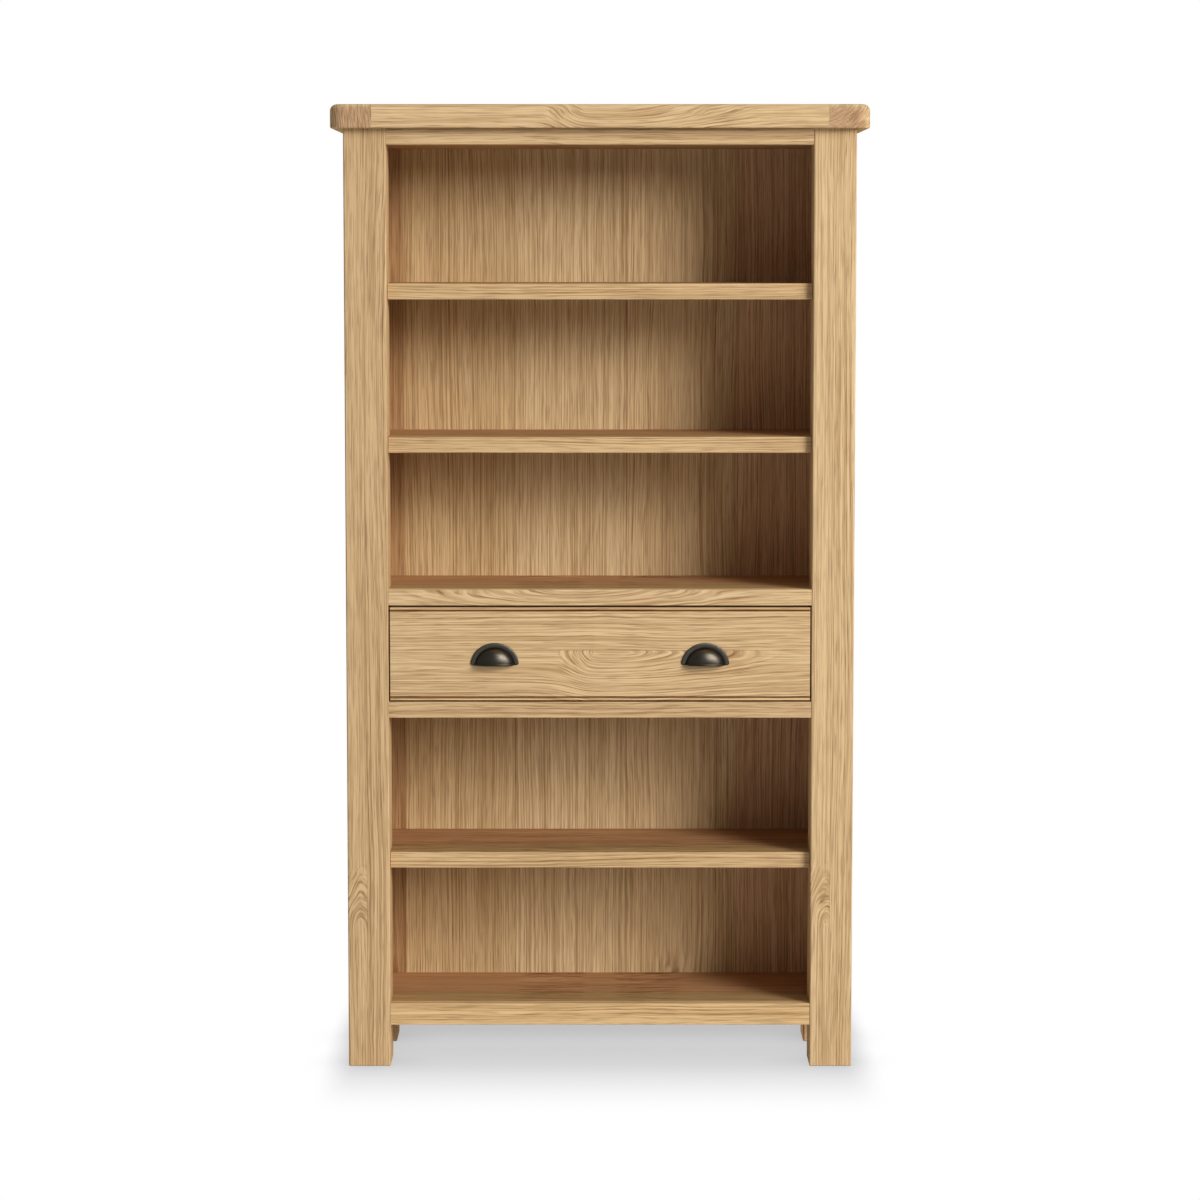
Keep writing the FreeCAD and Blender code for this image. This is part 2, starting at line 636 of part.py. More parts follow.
def drawer_side():
    """Drawer side with lapped tails at the front, through tails at the rear and a groove."""
    outline = [
        V(X_DRAWER_IN, Y_DRAWER_FRONT_BACK, Z_SIDE),
        V(X_DRAWER_IN, Y_DRAWER_REAR, Z_SIDE),
        V(X_DRAWER_IN, Y_DRAWER_REAR, Z_DRAWER_BACK),
        V(X_DRAWER_IN, Y_DRAWER_BACK, Z_DRAWER_BACK),
        V(X_DRAWER_IN, Y_DRAWER_BACK, Z_SIDE_TOP),
        V(X_DRAWER_IN, Y_DRAWER_FRONT_BACK, Z_SIDE_TOP),
    ]
    side = prism(outline, V(DRAWER_SIDE_T, 0, 0))
    side = side.fuse(front_tails() + rear_tails())
    return side.cut(block(*loosened(drawer_bottom_limits()))).removeSplitter()


def drawer_back():
    """Drawer back between and behind the sides, cut for their tails."""
    back = block(-X_DRAWER, X_DRAWER, Y_DRAWER_BACK, Y_DRAWER_REAR, Z_DRAWER_BACK, Z_DRAWER_BACK_TOP)
    sockets = rear_tails(FIT)
    return back.cut(sockets + [mirrored(socket) for socket in sockets])


def ellipsoid(half_x, half_y, half_z):
    """Egg form about the middle of a handle's lower edge, its poles and seam clear of the hood."""
    ball = Part.makeSphere(1.0)
    seam_below = FreeCAD.Rotation(V(0, 1, -1), V(-1, 0, 0), V(0, 1, 1), "ZXY")
    ball.Placement = FreeCAD.Placement(V(0, 0, 0), seam_below)
    stretch = FreeCAD.Matrix()
    stretch.scale(half_x, half_y, half_z)
    return ball.transformGeometry(stretch)


def half_oval(half_w, height):
    """Upright arch of half an ellipse, as one edge that starts and ends on the ground line."""
    if half_w >= height:
        oval = Part.Ellipse(V(half_w, 0, 0), V(0, 0, height), V(0, 0, 0))
        return Part.ArcOfEllipse(oval, 0, math.pi).toShape()
    oval = Part.Ellipse(V(0, 0, height), V(-half_w, 0, 0), V(0, 0, 0))
    return Part.ArcOfEllipse(oval, -math.pi / 2, math.pi / 2).toShape()


def arched_plate(half_w, height, thickness):
    """Plate against the drawer face with the outline of half an ellipse."""
    base = Part.LineSegment(V(-half_w, 0, 0), V(half_w, 0, 0)).toShape()
    return Part.Face(Part.Wire([half_oval(half_w, height), base])).extrude(V(0, -thickness, 0))


def rolled_lip():
    """Round roll along the lower edge of the hood, flattened underneath."""
    half_cup = CUP_W / 2
    path = half_oval(half_cup, CUP_D)
    path.rotate(V(0, 0, 0), V(1, 0, 0), 90)
    path.translate(V(0, 0, LIP_RAISE))
    ring = Part.Wire(Part.makeCircle(LIP_R, V(half_cup, 0, LIP_RAISE), V(0, 1, 0)))
    return Part.Wire(path).makePipeShell([ring], True, False)


def cup_handle():
    """Cast cup handle: plate with a rounded rim, hollow hood with a rolled lip, two screw bosses."""
    plate = arched_plate(HANDLE_W / 2, HANDLE_H, HANDLE_PLATE_T)
    plate = plate.makeFillet(HANDLE_PLATE_CORNER_R, straight_edges(plate, "y"))
    rim = [e for e in plate.Edges if all(abs(v.Y + HANDLE_PLATE_T) < 0.001 for v in e.Vertexes)]
    plate = plate.makeFillet(HANDLE_PLATE_EDGE_R, rim)
    half_cup = CUP_W / 2
    groove = arched_plate(half_cup + RIM_GROOVE_W, CUP_H + RIM_GROOVE_W, HANDLE_PLATE_T)
    groove.translate(V(0, RIM_GROOVE_DEPTH - HANDLE_PLATE_T, 0))
    in_front = block(-HANDLE_W, HANDLE_W, -HANDLE_W, 0, 0, HANDLE_W)
    hood = ellipsoid(half_cup, CUP_D, CUP_H).common(in_front)
    lip = rolled_lip().common(in_front)
    hollow = ellipsoid(half_cup - CUP_WALL, CUP_D - CUP_WALL, CUP_H - CUP_WALL)
    bosses = []
    for x in (-BOSS_SPACING / 2, BOSS_SPACING / 2):
        boss = turned([(0.0, BOSS_R), (CUP_D, BOSS_R)], V(x, 0, BOSS_H), V(0, -1, 0))
        bosses.append(boss.common(hood))
    return plate.cut(groove).fuse([hood, lip]).cut(hollow).fuse(bosses)


def build():
    """Every node of the bookcase by name: one solid, or a group of like solids."""
    nodes = {}
    nodes["top_board"], top_end = top_pieces()
    paired = {
        "top_end": top_end,
        "front_post": front_post(),
        "rear_leg": rear_leg(),
        "side_panel": side_panel(),
        "drawer_runner": drawer_runner(),
        "drawer_guide": drawer_guide(),
        "drawer_kicker": drawer_kicker(),
        "drawer_side": drawer_side(),
    }
    for name, (low, high) in SIDE_RAILS.items():
        paired[name] = side_rail(low, high)
    for name, right in paired.items():
        nodes[name + "_right"] = right
        nodes[name + "_left"] = mirrored(right)
    for name, (low, high) in RAILS.items():
        nodes[name] = front_rail(low, high)
    nodes["top_rear_rail"] = top_rear_rail()
    for name, (low, high) in DECKS.items():
        rear = Y_REAR_RAIL if name == "ceiling_deck" else Y_BACK
        nodes[name] = deck(low, high, rear)
    nodes["back_panel"] = back_panel()
    for name, shelf_z in SHELVES.items():
        nodes[name] = loose_shelf(shelf_z)
        nodes[name + "_pins"] = Part.makeCompound(shelf_pins(shelf_z))
    nodes["top_dowels"] = Part.makeCompound(top_dowels())
    nodes["back_screws"] = Part.makeCompound(back_screws())
    nodes["drawer_stops"] = Part.makeCompound(drawer_stops())
    nodes["drawer_front"] = drawer_front()
    nodes["drawer_back"] = drawer_back()
    nodes["drawer_bottom"] = block(*drawer_bottom_limits())
    handle = cup_handle()
    for side, place in zip(("left", "right"), handle_places()):
        placed = handle.copy()
        placed.translate(place)
        nodes["cup_handle_" + side] = placed.cut(handle_screws(HOLE_CLEARANCE))
    nodes["handle_screws"] = Part.makeCompound(handle_screws())
    return nodes


os.makedirs("parts", exist_ok=True)
for node, shape in build().items():
    shape.exportStep(os.path.join("parts", node + ".step"))
    print(node, len(shape.Solids), "valid" if shape.isValid() else "INVALID", round(shape.Volume))
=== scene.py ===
"""Looks of the tall oak bookcase with one wide drawer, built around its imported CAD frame.

Metres. +X is to the right seen from the front, +Y to the rear, +Z up. The sections follow the order
in which the piece is put together, from the framed sides to the drawer, and end with the stage.
"""

import math

import bpy
import numpy as np
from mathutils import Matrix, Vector


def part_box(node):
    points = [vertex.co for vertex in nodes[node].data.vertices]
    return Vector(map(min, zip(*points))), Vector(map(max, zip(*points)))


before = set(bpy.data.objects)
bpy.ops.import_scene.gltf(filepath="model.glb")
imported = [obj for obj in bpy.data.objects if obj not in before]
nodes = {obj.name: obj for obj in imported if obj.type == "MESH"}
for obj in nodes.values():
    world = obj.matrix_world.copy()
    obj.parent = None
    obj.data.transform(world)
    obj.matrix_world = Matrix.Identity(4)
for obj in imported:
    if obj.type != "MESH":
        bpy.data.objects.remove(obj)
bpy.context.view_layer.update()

# Front posts and rear legs.
# Solid oak with the grain upright: square posts, each glued up from two staves, and rear legs of one
# piece. They are planed, softened at the arrises and oiled dull, which leaves the grain open.


def paint(red, green, blue):
    """A colour given as screen values from 0 to 255, as the linear colour that shaders use."""
    screen = np.array([red, green, blue]) / 255
    linear = np.where(screen <= 0.04045, screen / 12.92, ((screen + 0.055) / 1.055) ** 2.4)
    return (*linear.tolist(), 1.0)


def fill(tree, socket, value):
    """Links a socket to another node's output, or sets it to a constant."""
    if isinstance(value, bpy.types.NodeSocket):
        tree.links.new(value, socket)
    else:
        socket.default_value = value


def calc(tree, operation, *terms, kind="ShaderNodeMath"):
    """Adds one maths node whose terms are constants or other nodes' outputs."""
    node = tree.nodes.new(kind)
    node.operation = operation
    for socket, term in zip(node.inputs, terms):
        fill(tree, socket, term)
    return node.outputs[0]


def vector_calc(tree, operation, *terms):
    """Adds one vector maths node."""
    return calc(tree, operation, *terms, kind="ShaderNodeVectorMath")


def parts_of(tree, vector):
    """The three numbers of a vector."""
    node = tree.nodes.new("ShaderNodeSeparateXYZ")
    fill(tree, node.inputs[0], vector)
    return node.outputs


def blend(tree, factor, first, second, data_type="RGBA"):
    """Mixes two colours, or two vectors."""
    node = tree.nodes.new("ShaderNodeMix")
    node.data_type = data_type
    sockets = {"RGBA": (6, 7, 2), "VECTOR": (4, 5, 1)}[data_type]
    fill(tree, node.inputs[0], factor)
    fill(tree, node.inputs[sockets[0]], first)
    fill(tree, node.inputs[sockets[1]], second)
    return node.outputs[sockets[2]]


def ramp(tree, value, low, high):
    """Smooth step of a value: 0 below low and 1 above high."""
    node = tree.nodes.new("ShaderNodeMapRange")
    node.interpolation_type = "SMOOTHSTEP"
    for label, term in (("Value", value), ("From Min", low), ("From Max", high)):
        fill(tree, node.inputs[label], term)
    return node.outputs[0]


def noise(tree, point, waves, detail=0.0):
    """Soft noise of a point, with its own count of waves in each metre along the three axes."""
    node = tree.nodes.new("ShaderNodeTexNoise")
    fill(tree, node.inputs["Vector"], vector_calc(tree, "MULTIPLY", point, waves))
    fill(tree, node.inputs["Scale"], 1.0)
    fill(tree, node.inputs["Detail"], detail)
    return node.outputs


def new_group(name, inputs, outputs):
    """Starts a shader node group; gives its tree, the sockets it reads and the ones it fills."""
    tree = bpy.data.node_groups.new(name, "ShaderNodeTree")
    for label, kind, value in inputs:
        socket = tree.interface.new_socket(label, in_out="INPUT", socket_type="NodeSocket" + kind)
        socket.default_value = value
    for label, kind in outputs:
        tree.interface.new_socket(label, in_out="OUTPUT", socket_type="NodeSocket" + kind)
    return tree, tree.nodes.new("NodeGroupInput").outputs, tree.nodes.new("NodeGroupOutput").inputs


LIGHT_OAK = paint(219, 188, 143)
DARK_OAK = paint(158, 118, 74)
PORE_BROWN = paint(112, 74, 44)
END_GRAIN_SHADE = (0.80, 0.73, 0.77)
RING_WIDTH = 0.005
RING_UNEVENNESS = 1.6
UNEVEN_WAVES = 60.0
EARLY_WOOD_FADE = 3.2
BASE_DEPTH = -0.08
FIBRE_SWAY = 0.007
HEART_DRIFT = 0.022
ARCH_CURL = 0.008
ARCH_STRENGTH = 1.4
GLUE_LINE = 0.0012
GLUE_STRENGTH = 0.35
PORE_STRENGTH = 0.6
SEED_STEP = (1.7, 3.1, 2.3)
SECOND_STAVE_SEED = 5.3


def sawn_oak():
    """Node group of sawn oak as a solid, so that every cut face shows its own figure.

    Year rings are tubes round the heart of the log. With aside and deep the distances from the heart
    across and through the board, a point's ring is sqrt(aside^2 + deep^2) / ring width. The heart
    wanders along the grain, and a swell, height * exp(-((x - place) / length)^2), brings it near the
    face, which draws cathedral arches; Tail makes the swell steeper or longer below its place. Heart
    holds slope, across, through; Swell holds place, length, height. Above the glue joint a second
    stave has its own heart and swell. Fine fibre lines and pores follow the rings where these are cut
    steeply, because their noise is read at the distance along the grain, the ring radius and a little
    of the way across. Where the cut is flat they run straight, swaying a little. Facing is 1 on end
    grain, which is darker.
    """
    tree, given, made = new_group(
        "sawn_oak",
        [
            ("Point", "Vector", (0, 0, 0)),
            ("Seed", "Float", 0.0),
            ("Joint", "Float", 9.0),
            ("Heart", "Vector", (0, 0.1, 0.1)),
            ("Swell", "Vector", (0, 0.1, 0)),
            ("Second heart", "Vector", (0, 0.1, 0.1)),
            ("Second swell", "Vector", (0, 0.1, 0)),
            ("Tail", "Float", 1.0),
            ("Ring", "Float", RING_WIDTH),
            ("Ring strength", "Float", 0.55),
            ("Fibre strength", "Float", 0.56),
            ("Streak strength", "Float", 0.34),
            ("Facing", "Float", 0.0),
            ("Tint", "Color", (1, 1, 1, 1)),
            ("Light", "Color", LIGHT_OAK),
            ("Dark", "Color", DARK_OAK),
            ("Pore", "Color", PORE_BROWN),
        ],
        [("Color", "Color"), ("Roughness", "Float"), ("Height", "Float")],
    )
    along, across, through = parts_of(tree, given["Point"])
    second = calc(tree, "GREATER_THAN", across, given["Joint"])
    slope, heart_across, heart_through = parts_of(
        tree, blend(tree, second, given["Heart"], given["Second heart"], "VECTOR"))
    place, length, height = parts_of(
        tree, blend(tree, second, given["Swell"], given["Second swell"], "VECTOR"))
    seed = calc(tree, "MULTIPLY_ADD", second, SECOND_STAVE_SEED, given["Seed"])
    offset = vector_calc(tree, "MULTIPLY", seed, SEED_STEP)
    point = vector_calc(tree, "ADD", given["Point"], offset)
    middle = (0.5, 0.5, 0.5)
    sway = vector_calc(tree, "SUBTRACT", noise(tree, point, (3.5, 12, 12), 1.0)[1], middle)
    sway = vector_calc(tree, "MULTIPLY", sway, (0.0, FIBRE_SWAY, FIBRE_SWAY))
    grain = vector_calc(tree, "ADD", point, sway)
    _, sway_across, sway_through = parts_of(tree, sway)

    drift = vector_calc(tree, "SUBTRACT", noise(tree, point, (1.6, 5, 5), 1.0)[1], middle)
    drift_across, drift_through, _ = parts_of(tree, drift)
    reach = calc(tree, "DIVIDE", calc(tree, "SUBTRACT", along, place), length)
    steep = calc(tree, "MINIMUM", calc(tree, "MULTIPLY", reach, given["Tail"]), 0.0)
    reach = calc(tree, "ADD", calc(tree, "MAXIMUM", reach, 0.0), steep)
    fall = calc(tree, "EXPONENT", calc(tree, "MULTIPLY", calc(tree, "MULTIPLY", reach, reach), -1.0))
    flank = calc(tree, "MULTIPLY", fall, calc(tree, "MULTIPLY_ADD", fall, -4.0, 4.0))
    aside = calc(tree, "SUBTRACT", across, heart_across)
    aside = calc(tree, "MULTIPLY_ADD", drift_across, HEART_DRIFT, calc(tree, "ADD", aside, sway_across))
    deep = calc(tree, "SUBTRACT", through, heart_through)
    deep = calc(tree, "MULTIPLY_ADD", slope, along, calc(tree, "ADD", deep, sway_through))
    curl = calc(tree, "SUBTRACT", noise(tree, point, (16, 45, 45), 1.0)[0], 0.5)
    deep = calc(tree, "MULTIPLY_ADD", fall, height, deep)
    deep = calc(tree, "MULTIPLY_ADD", flank, calc(tree, "MULTIPLY", curl, ARCH_CURL), deep)
    deep = calc(tree, "MULTIPLY_ADD", drift_through, HEART_DRIFT, deep)
    deep_squared = calc(tree, "MULTIPLY", deep, deep)
    radius = calc(tree, "SQRT", calc(tree, "MULTIPLY_ADD", aside, aside, deep_squared))
    uneven = tree.nodes.new("ShaderNodeTexNoise")
    uneven.noise_dimensions = "1D"
    fill(tree, uneven.inputs["W"], calc(tree, "MULTIPLY_ADD", radius, UNEVEN_WAVES, seed))
    fill(tree, uneven.inputs["Scale"], 1.0)
    fill(tree, uneven.inputs["Detail"], 1.0)
    phase = calc(tree, "DIVIDE", radius, given["Ring"])
    phase = calc(tree, "MULTIPLY_ADD", uneven.outputs[0], RING_UNEVENNESS, phase)
    year = tree.nodes.new("ShaderNodeTexWhiteNoise")
    year.noise_dimensions = "1D"
    fill(tree, year.inputs["W"], calc(tree, "ADD", calc(tree, "FLOOR", phase), seed))
    early = calc(tree, "SUBTRACT", 1.0, calc(tree, "FRACT", phase))
    early = calc(tree, "POWER", early, EARLY_WOOD_FADE)
    early = calc(tree, "MULTIPLY", early, calc(tree, "MULTIPLY_ADD", year.outputs[0], 0.7, 0.3))
    steep_cut = ramp(tree, calc(tree, "ABSOLUTE", calc(tree, "DIVIDE", aside, radius)), 0.35, 0.75)
    arches = ramp(tree, flank, 0.05, 0.6)
    clear = calc(tree, "MAXIMUM", steep_cut, calc(tree, "MULTIPLY", arches, ARCH_STRENGTH))
    early = calc(tree, "MULTIPLY", early, clear)

    follow = calc(tree, "MAXIMUM", steep_cut, arches)
    lines = tree.nodes.new("ShaderNodeCombineXYZ")
    for socket, value in zip(lines.inputs, (along, radius, calc(tree, "ADD", across, through))):
        fill(tree, socket, value)
    lines = vector_calc(tree, "ADD", lines.outputs[0], offset)

    def grain_noise(lengthwise, crosswise, detail):
        """Noise drawn out along the grain: round the rings, or straight where the cut is flat."""
        curved = noise(tree, lines, (lengthwise, crosswise, crosswise / 10), detail)[0]
        straight = noise(tree, grain, (lengthwise, crosswise, crosswise), detail)[0]
        return calc(tree, "MULTIPLY_ADD", calc(tree, "SUBTRACT", curved, straight), follow, straight)

    pores = ramp(tree, grain_noise(17, 640, 1.0), 0.48, 0.66)
    pores = calc(tree, "MULTIPLY", pores, calc(tree, "MULTIPLY_ADD", early, 0.5, 0.5))
    fibre = ramp(tree, grain_noise(2.2, 450, 2.0), 0.36, 0.66)
    streak = grain_noise(0.8, 60, 2.0)
    depth = calc(tree, "MULTIPLY_ADD", early, given["Ring strength"], BASE_DEPTH)
    depth = calc(tree, "MULTIPLY_ADD", fibre, given["Fibre strength"], depth)
    streak = calc(tree, "MULTIPLY", calc(tree, "SUBTRACT", streak, 0.5), given["Streak strength"])
    depth = calc(tree, "ADD", streak, depth)
    tone = tree.nodes.new("ShaderNodeClamp")
    fill(tree, tone.inputs[0], depth)
    color = blend(tree, tone.outputs[0], given["Light"], given["Dark"])
    color = blend(tree, calc(tree, "MULTIPLY", pores, PORE_STRENGTH), color, given["Pore"])
    glue = calc(tree, "ABSOLUTE", calc(tree, "SUBTRACT", across, given["Joint"]))
    glue = calc(tree, "SUBTRACT", 1.0, ramp(tree, glue, 0.0, GLUE_LINE))
    color = blend(tree, calc(tree, "MULTIPLY", glue, GLUE_STRENGTH), color, given["Pore"])
    end_grain = vector_calc(tree, "MULTIPLY", color, END_GRAIN_SHADE)
    color = blend(tree, given["Facing"], color, end_grain)
    fill(tree, made["Color"], vector_calc(tree, "MULTIPLY", color, given["Tint"]))
    fill(tree, made["Roughness"], calc(tree, "MULTIPLY_ADD", pores, 0.2, 0.7))
    fill(tree, made["Height"], calc(tree, "SUBTRACT", 1.0, calc(tree, "MAXIMUM", pores, early)))
    return tree


SAWN_OAK = sawn_oak()
GRAIN_RELIEF = 0.15
PORE_DEPTH = 0.0004
OIL_SHEEN = 0.06


def turned(tree, lean):
    """1 on faces that look along an axis; lean is how much their normal points along it."""
    return ramp(tree, lean, 0.6, 0.95)


def oak_parts(name, order):
    """Starts the material of one oak board; order names the axes along, across and through it.

    Gives the material, its oak group and the three object coordinates by name.
    """
    material = bpy.data.materials.new(name)
    material.use_nodes = True
    tree = material.node_tree
    surface = tree.nodes["Principled BSDF"]
    where = tree.nodes.new("ShaderNodeTexCoord").outputs
    axes = dict(zip("xyz", parts_of(tree, where["Object"])))
    board = tree.nodes.new("ShaderNodeCombineXYZ")
    for socket, axis in zip(board.inputs, order):
        fill(tree, socket, axes[axis])
    facing = dict(zip("xyz", parts_of(tree, where["Normal"])))[order[0]]
    timber = tree.nodes.new("ShaderNodeGroup")
    timber.node_tree = SAWN_OAK
    fill(tree, timber.inputs["Point"], board.outputs[0])
    fill(tree, timber.inputs["Facing"], turned(tree, calc(tree, "ABSOLUTE", facing)))
    open_grain = tree.nodes.new("ShaderNodeBump")
    fill(tree, open_grain.inputs["Strength"], GRAIN_RELIEF)
    fill(tree, open_grain.inputs["Distance"], PORE_DEPTH)
    fill(tree, open_grain.inputs["Height"], timber.outputs["Height"])
    fill(tree, surface.inputs["Normal"], open_grain.outputs[0])
    fill(tree, surface.inputs["Base Color"], timber.outputs["Color"])
    fill(tree, surface.inputs["Roughness"], timber.outputs["Roughness"])
    fill(tree, surface.inputs["Specular IOR Level"], OIL_SHEEN)
    return material, timber, axes


def set_figure(material, timber, **figure):
    """Sets inputs of a board's oak group by name: second_heart sets the input Second heart."""
    for label, value in figure.items():
        fill(material.node_tree, timber.inputs[label.replace("_", " ").capitalize()], value)


def oak(name, order, **figure):
    """Makes the material of one oak board, with the figure of its log."""
    material, timber, _ = oak_parts(name, order)
    set_figure(material, timber, **figure)
    return material


def dress(material, *names):
    """Gives CAD nodes their material."""
    for name in names:
        mesh = nodes[name].data
        mesh.materials.clear()
        mesh.materials.append(material)


dress(
    oak("oak_left_post", "zxy", seed=3.0, joint=-0.4370,
        heart=(-0.03, -0.4480, -0.104), swell=(0.25, 0.08, 0.030), tail=0.0,
        second_heart=(0.0, -0.30, -0.03), tint=(0.91, 0.885, 0.865, 1)),
    "front_post_left")
dress(
    oak("oak_right_post", "zxy", seed=11.0, joint=0.4310,
        heart=(-0.03, 0.4220, -0.104), swell=(0.25, 0.08, 0.030), tail=0.0,
        second_heart=(0.0, 0.57, -0.03)),
    "front_post_right")
# The rear legs' warmer, darker tint is partly painted shade, for the shade they stand in behind the posts.
dress(oak("oak_rear_legs", "zxy", seed=17.0, heart=(0.0, 0.62, 0.3), tint=(1.0, 0.91, 0.84, 1)),
      "rear_leg_left", "rear_leg_right")

# Side panels and side rails.
# A flat veneered panel stands in a groove of the post and in rebates of the leg and the rails. The
# rails are solid oak with tenons, set back a little from the faces of the post and leg.

dress(oak("oak_side_panel", "zyx", seed=23.0, heart=(0.02, 0.06, 0.40)),
      "side_panel_left", "side_panel_right")
dress(oak("oak_side_rails", "yzx", seed=29.0, heart=(0.0, 1.0, 0.3)),
      "side_top_rail_left", "side_top_rail_right", "side_bottom_rail_left", "side_bottom_rail_right")

# Front rails and the rear top rail.
# Solid oak rails tenoned between the posts, a millimetre behind their faces, and one between the rear
# legs. The rail over the drawer is cut near the heart and shows broad arches.

dress(oak("oak_bottom_rail", "xzy", seed=31.0, heart=(0.0, 0.20, -0.05), tint=(1.03, 1.0, 0.92, 1)),
      "bottom_rail")
dress(oak("oak_floor_rail", "xzy", seed=37.0, heart=(0.0, 0.60, -0.06), tint=(0.92, 0.89, 0.87, 1)),
      "drawer_floor_rail")
dress(oak("oak_cover_rail", "xzy", seed=41.0, heart=(0.0, 0.907, -0.086), swell=(-0.03, 0.2, 0.036)),
      "drawer_cover_rail")
dress(oak("oak_top_rails", "xzy", seed=43.0, heart=(0.0, 1.66, -0.04)), "top_front_rail", "top_rear_rail")

# Decks and ceiling.
# Veneered boards housed in the sides and tongued into the front rails, with the grain along them.
# Their tone is painted light and shade: darker overall, olive brown in front where light falls and redder at
# the rear where shade falls, with a dark seam line between.

TONE_SEAM = -0.03
SEAM_BLUR = 0.008
SEAM_WIDTH = 0.006
PAINTED_LIT_FRONT = (0.64, 0.575, 0.46, 1)
PAINTED_SHADED_REAR = (0.745, 0.58, 0.505, 1)
SEAM_SHADE = (0.54, 0.41, 0.34, 1)


def painted_lit_front_shaded_rear(tree, depth):
    """Painted light and shade of a board: olive brown in front where light falls, redder at the rear where
    shade falls, with a dark seam line between.
    """
    rear = ramp(tree, depth, TONE_SEAM - SEAM_BLUR, TONE_SEAM + SEAM_BLUR)
    shade = blend(tree, rear, PAINTED_LIT_FRONT, PAINTED_SHADED_REAR)
    seam = calc(tree, "ABSOLUTE", calc(tree, "SUBTRACT", depth, TONE_SEAM))
    return blend(tree, ramp(tree, seam, 0.0, SEAM_WIDTH), SEAM_SHADE, shade)


def deck_veneer(name):
    """Makes the material of the decks, with painted light and shade on their tone."""
    material, timber, axes = oak_parts(name, "xyz")
    shade = painted_lit_front_shaded_rear(material.node_tree, axes["y"])
    set_figure(material, timber, seed=47.0, heart=(0.0, 0.12, 0.5), streak_strength=0.9, tint=shade)
    return material


dress(deck_veneer("oak_decks"), "bottom_deck", "drawer_floor_deck", "drawer_cover_deck", "ceiling_deck")

# Back.
# A thin board veneered with upright leaves of oak, let into the rear legs and screwed on.

# The leftmost leaf's darker, redder tint is partly painted shade; the rightmost leaf's lighter tint is
# partly painted light that lifts the shade on the right side of the back.
LEAVES = (
    # left edge, middle of the log across and through, shade
    (-0.450, -0.402, 0.128, (0.66, 0.56, 0.49, 1)),
    (-0.381, -0.700, 0.300, (0.96, 0.97, 0.94, 1)),
    (-0.165, 0.300, 0.300, (1.04, 1.08, 1.10, 1)),
    (0.051, 0.145, 0.092, (1.04, 1.05, 1.05, 1)),
    (0.267, 0.650, 0.300, (1.06, 0.98, 1.03, 1)),
)
LEAF_JOINT = 0.0012
LEAF_JOINT_SHADE = (0.62, 0.54, 0.48, 1)
LEAF_SEED = 7.7


def leaf_veneer(name):
    """Makes the back's material: upright leaves side by side, each from its own log."""
    material, timber, axes = oak_parts(name, "zxy")
    tree = material.node_tree
    heart = (0.0, 0.0, 0.3)
    shade = (1, 1, 1, 1)
    count = 0.0
    for left, across, through, tone in LEAVES:
        inside = calc(tree, "GREATER_THAN", axes["x"], left)
        heart = blend(tree, inside, heart, (0.0, across, through), "VECTOR")
        shade = blend(tree, inside, shade, tone)
        seam = calc(tree, "ABSOLUTE", calc(tree, "SUBTRACT", axes["x"], left))
        shade = blend(tree, ramp(tree, seam, 0.0, LEAF_JOINT), LEAF_JOINT_SHADE, shade)
        count = calc(tree, "ADD", count, inside)
    seed = calc(tree, "MULTIPLY", count, LEAF_SEED)
    set_figure(material, timber, seed=seed, heart=heart, tint=shade,
               ring_strength=0.4, fibre_strength=0.66, streak_strength=0.66)
    return material


dress(leaf_veneer("oak_back"), "back_panel")

# Loose shelves and their pins.
# Solid oak boards notched round the posts, lying on stepped steel pins in the sides.

SHELF_EDGE_SHADE = (0.95, 0.92, 0.88, 1)
BRIGHT_ZINC = paint(196, 198, 200)
DULL_ZINC = paint(172, 174, 178)


def shelf_oak(name):
    """Makes the shelves' material: oak whose upper face is painted darker with the decks' painted light and
    shade, olive brown in front and redder at the rear.
    """
    material, timber, axes = oak_parts(name, "xzy")
    tree = material.node_tree
    upward = parts_of(tree, tree.nodes.new("ShaderNodeTexCoord").outputs["Normal"])[2]
    shade = blend(tree, turned(tree, upward), SHELF_EDGE_SHADE, painted_lit_front_shaded_rear(tree, axes["y"]))
    set_figure(material, timber, seed=59.0, heart=(0.0, 0.9, -0.2), streak_strength=0.6, tint=shade)
    return material


dress(shelf_oak("oak_shelves"), "lower_shelf", "middle_shelf", "upper_shelf")


def metal(name):
    """Starts a metal material; gives it with its tree, its shader and its object coordinates."""
    material = bpy.data.materials.new(name)
    material.use_nodes = True
    tree = material.node_tree
    surface = tree.nodes["Principled BSDF"]
    fill(tree, surface.inputs["Metallic"], 1.0)
    return material, tree, surface.inputs, tree.nodes.new("ShaderNodeTexCoord").outputs["Object"]


def zinc_plate(name):
    """Makes the bright zinc of pins and screws, with soft clouds of a duller grey."""
    material, tree, surface, point = metal(name)
    cloud = ramp(tree, noise(tree, point, (700, 700, 700), 2.0)[0], 0.3, 0.7)
    fill(tree, surface["Base Color"], blend(tree, cloud, BRIGHT_ZINC, DULL_ZINC))
    fill(tree, surface["Roughness"], calc(tree, "MULTIPLY_ADD", cloud, 0.18, 0.26))
    return material


dress(zinc_plate("zinc_steel"),
      "lower_shelf_pins", "middle_shelf_pins", "upper_shelf_pins", "back_screws", "handle_screws")

# Top.
# A thick slab with a cross-grain piece tongued on at each end, rounded over along the front and the
# sides, and dowelled to the posts, legs and rails. It is rubbed down dull, without any sheen.

